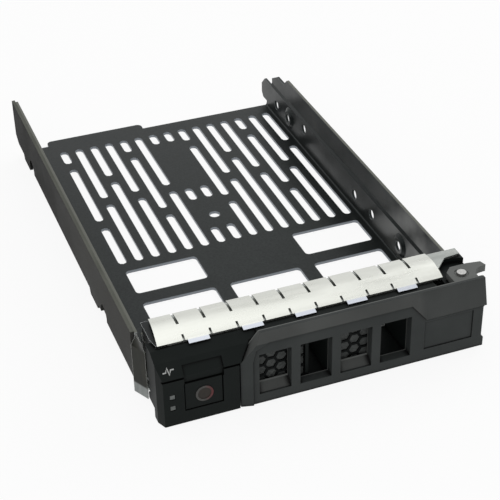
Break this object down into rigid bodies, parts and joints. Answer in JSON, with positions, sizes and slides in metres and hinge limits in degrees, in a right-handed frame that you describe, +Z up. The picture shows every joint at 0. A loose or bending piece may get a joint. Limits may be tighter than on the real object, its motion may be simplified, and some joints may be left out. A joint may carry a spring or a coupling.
{
  "type": "hot swap drive caddy",
  "caption": "Slotted steel tray for a 3.5 inch drive with a moulded bezel, vented swing lever, release button and spring shielding strips.",
  "frame": {"origin": "on the underside of the tray's floor, on its centre line, 60 mm behind the front pair of drive screws", "axes": "+X to the right seen from the bezel, +Y from the bezel to the tray's rear, +Z up"},
  "size_m": [0.1153, 0.1863, 0.0269],
  "materials": {
    "tray_steel": "satin",
    "black_plastic": "matte",
    "lever_plastic": "satin",
    "catch_plastic": "matte",
    "clear_plastic": "gloss",
    "screen_metal": "satin",
    "pin_steel": "satin",
    "spring_steel": "bright",
    "spring_plate": "bright",
    "shield_steel": "satin",
    "rivet_steel": "satin",
    "mark_grey": "matte",
    "mark_red": "satin"
  },
  "bodies": {
    "frame": {"tray": "tray_steel", "bezel_base": "black_plastic", "vent_screen_left": "screen_metal", "vent_screen_right": "screen_metal", "rail_cover": "black_plastic", "light_pipe_upper": "clear_plastic", "light_pipe_lower": "clear_plastic", "pivot_pin": "pin_steel", "lever_spring": "spring_steel", "button_spring": "spring_steel", "emi_top_strip": "spring_plate", "emi_side_strip": "spring_plate", "front_shield": "shield_steel", "bezel_rivets": "rivet_steel"},
    "lever": {"lever": "lever_plastic"},
    "button": {"release_button": "black_plastic", "button_ring": "mark_grey", "button_dot": "mark_red"},
    "catch": {"latch_catch": "catch_plastic"}
  },
  "joints": [
    {"name": "lever_swing", "type": "hinge", "parent": "frame", "child": "lever", "pos_m": [0.0499, -0.1055, 0.012], "axis": [0, 0, 1], "range_deg": [0, 48]},
    {"name": "button_press", "type": "slide", "parent": "frame", "child": "button", "axis": [0, 1, 0], "range_m": [0, 0.002], "stiffness_N_per_m": 800, "deforming": ["button_spring"]},
    {"name": "catch_slide", "type": "slide", "parent": "frame", "child": "catch", "axis": [-1, 0, 0], "range_m": [0, 0.0015]}
  ],
  "couplings": [
    {"joint": "catch_slide", "follows": "button_press", "ratio": 0.75}
  ]
}
